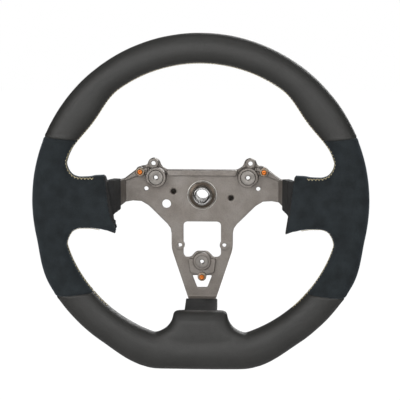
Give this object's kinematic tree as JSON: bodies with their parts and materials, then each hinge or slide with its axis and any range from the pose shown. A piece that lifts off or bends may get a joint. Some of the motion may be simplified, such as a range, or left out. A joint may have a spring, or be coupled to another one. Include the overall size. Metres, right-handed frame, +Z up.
{
  "type": "steering wheel",
  "caption": "Flat-bottomed leather and suede car steering wheel with three spokes and an open splined hub, without its airbag module.",
  "frame": {"origin": "on the steering axis, at the rear face of the splined bush that rests against the column", "axes": "+Y along the steering axis away from the driver, +X to the driver's right, +Z up with the wheel held straight"},
  "size_m": [0.36, 0.0999, 0.3622],
  "materials": {
    "cast_alloy": "die-cast, matt",
    "polished_steel": "turned and polished",
    "rod_steel": "plain",
    "black_foam": "matt moulded",
    "black_leather": "smooth, satin",
    "black_suede": "napped",
    "tan_thread": "twisted thread",
    "contact_copper": "bright",
    "natural_nylon": "moulded"
  },
  "bodies": {
    "wheel": {"hub_frame": "cast_alloy", "spline_bush": "polished_steel", "rim_rod": "rod_steel", "rim_foam": "black_foam", "leather_top": "black_leather", "leather_bottom": "black_leather", "suede_left": "black_suede", "suede_right": "black_suede", "lacing_top": "tan_thread", "lacing_left": "tan_thread", "lacing_right": "tan_thread", "boss_insert_left": "rod_steel", "boss_insert_right": "rod_steel", "boss_insert_lower": "rod_steel", "contact_guide_left": "natural_nylon", "contact_guide_right": "natural_nylon", "contact_guide_lower": "natural_nylon", "contact_spring_left": "rod_steel", "contact_spring_right": "rod_steel", "contact_spring_lower": "rod_steel"},
    "horn_contact_left": {"contact_pin_left": "contact_copper", "contact_clip_left": "rod_steel"},
    "horn_contact_right": {"contact_pin_right": "contact_copper", "contact_clip_right": "rod_steel"},
    "horn_contact_lower": {"contact_pin_lower": "contact_copper", "contact_clip_lower": "rod_steel"}
  },
  "joints": [
    {"name": "horn_contact_left_slide", "type": "slide", "parent": "wheel", "child": "horn_contact_left", "axis": [0, 1, 0], "range_m": [0, 0.0015], "stiffness_N_per_m": 800, "springref_m": -0.001, "deforming": ["contact_spring_left"]},
    {"name": "horn_contact_right_slide", "type": "slide", "parent": "wheel", "child": "horn_contact_right", "axis": [0, 1, 0], "range_m": [0, 0.0015], "stiffness_N_per_m": 800, "springref_m": -0.001, "deforming": ["contact_spring_right"]},
    {"name": "horn_contact_lower_slide", "type": "slide", "parent": "wheel", "child": "horn_contact_lower", "axis": [0, 1, 0], "range_m": [0, 0.0015], "stiffness_N_per_m": 800, "springref_m": -0.001, "deforming": ["contact_spring_lower"]}
  ]
}
